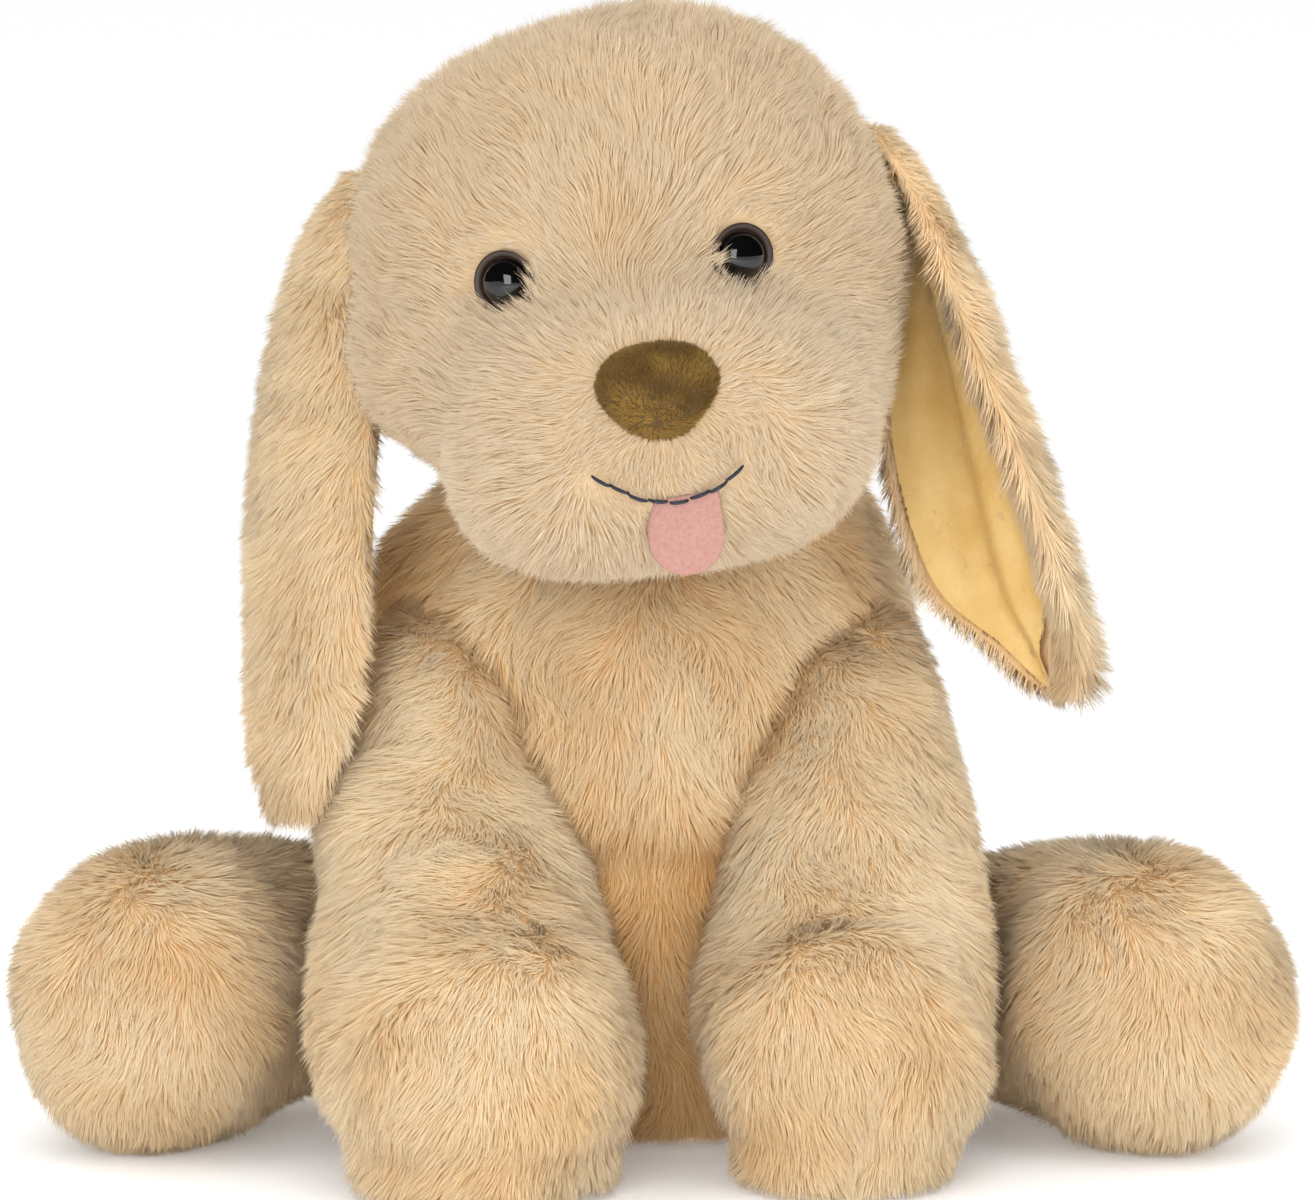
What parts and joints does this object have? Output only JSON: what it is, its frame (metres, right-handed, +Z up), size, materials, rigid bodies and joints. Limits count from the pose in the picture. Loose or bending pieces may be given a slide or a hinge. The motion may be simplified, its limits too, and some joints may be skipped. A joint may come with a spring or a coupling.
{
  "type": "plush dog",
  "caption": "Seated floppy-eared plush dog with sewn fur covers over stuffing, hinged head, ears, arms, legs and tail, and glossy plastic eyes.",
  "frame": {"origin": "on the flat seat under the torso, at the floor that the dog sits on", "axes": "+X toward the dog's own left side, -Y the way the dog faces, +Z up"},
  "size_m": [0.3365, 0.2673, 0.3026],
  "materials": {
    "fur_tan": "long soft plush pile, light tan, warmer in the folds",
    "fur_pale": "long soft plush pile, paler tan",
    "satin_gold": "short shiny velour, golden yellow",
    "nose_pile": "dense short pile, olive brown",
    "tongue_felt": "pink felt",
    "thread_dark": "dark embroidery thread",
    "thread_fur": "sewing thread in the colour of the fur",
    "eye_black": "polished black",
    "iris_brown": "polished dark brown",
    "washer_white": "natural white",
    "fibre": "loose white polyester fibre",
    "linen_bag": "plain woven bag filled with plastic pellets",
    "label_white": "blank white woven ribbon"
  },
  "bodies": {
    "torso": {"torso_cover": "fur_tan", "torso_stuffing": "fibre", "seat_bean_bag": "linen_bag", "closing_seam_thread": "thread_fur", "care_label": "label_white"},
    "neck": {"neck_stuffing": "fibre"},
    "head": {"head_cover": "fur_tan", "muzzle_cover": "fur_pale", "head_stuffing": "fibre", "nose_cover": "nose_pile", "nose_wadding": "fibre", "mouth_thread": "thread_dark", "eye_left": "eye_black", "eye_left_iris_ring": "iris_brown", "eye_left_washer": "washer_white", "eye_right": "eye_black", "eye_right_iris_ring": "iris_brown", "eye_right_washer": "washer_white"},
    "tongue": {"tongue": "tongue_felt"},
    "tail": {"tail_cover": "fur_tan", "tail_stuffing": "fibre"},
    "ear_left": {"ear_left_fur": "fur_tan", "ear_left_lining": "satin_gold"},
    "arm_left": {"arm_left_cover": "fur_tan", "arm_left_sole": "fur_pale", "arm_left_stuffing": "fibre", "arm_left_bean_bag": "linen_bag"},
    "leg_left": {"leg_left_cover": "fur_tan", "leg_left_foot_panel": "fur_pale", "leg_left_stuffing": "fibre", "leg_left_bean_bag": "linen_bag"},
    "ear_right": {"ear_right_fur": "fur_tan", "ear_right_lining": "satin_gold"},
    "arm_right": {"arm_right_cover": "fur_tan", "arm_right_sole": "fur_pale", "arm_right_stuffing": "fibre", "arm_right_bean_bag": "linen_bag"},
    "leg_right": {"leg_right_cover": "fur_tan", "leg_right_foot_panel": "fur_pale", "leg_right_stuffing": "fibre", "leg_right_bean_bag": "linen_bag"}
  },
  "joints": [
    {"name": "head_turn", "type": "hinge", "parent": "torso", "child": "neck", "pos_m": [-0.003, -0.01, 0.184], "axis": [0, 0, 1], "range_deg": [-15, 15], "deforming": ["ear_left_fur", "ear_left_lining", "ear_right_fur", "ear_right_lining"]},
    {"name": "head_nod", "type": "hinge", "parent": "neck", "child": "head", "pos_m": [-0.003, -0.01, 0.184], "axis": [1, 0, 0], "range_deg": [-16, 6]},
    {"name": "ear_left_lift", "type": "hinge", "parent": "head", "child": "ear_left", "pos_m": [0.06, -0.026, 0.274], "axis": [0.309, -0.9511, 0], "range_deg": [0, 60]},
    {"name": "ear_right_lift", "type": "hinge", "parent": "head", "child": "ear_right", "pos_m": [-0.075, -0.026, 0.262], "axis": [-0.4695, 0.8829, 0], "range_deg": [0, 60]},
    {"name": "tongue_lift", "type": "hinge", "parent": "head", "child": "tongue", "pos_m": [0.0107, -0.1306, 0.1845], "axis": [-1, 0, 0], "range_deg": [0, 50]},
    {"name": "arm_left_lift", "type": "hinge", "parent": "torso", "child": "arm_left", "pos_m": [0.055, -0.02, 0.12], "axis": [-0.9397, 0, 0.342], "range_deg": [0, 35]},
    {"name": "arm_right_lift", "type": "hinge", "parent": "torso", "child": "arm_right", "pos_m": [-0.055, -0.02, 0.12], "axis": [-0.9397, 0, -0.342], "range_deg": [0, 35]},
    {"name": "leg_left_swing", "type": "hinge", "parent": "torso", "child": "leg_left", "pos_m": [0.068, 0.013, 0.039], "axis": [0, 0, 1], "range_deg": [0, 30]},
    {"name": "leg_right_swing", "type": "hinge", "parent": "torso", "child": "leg_right", "pos_m": [-0.068, 0.013, 0.039], "axis": [0, 0, -1], "range_deg": [0, 30]},
    {"name": "tail_wag", "type": "hinge", "parent": "torso", "child": "tail", "pos_m": [0, 0.082, 0.044], "axis": [0, 0, 1], "range_deg": [-35, 35]}
  ]
}
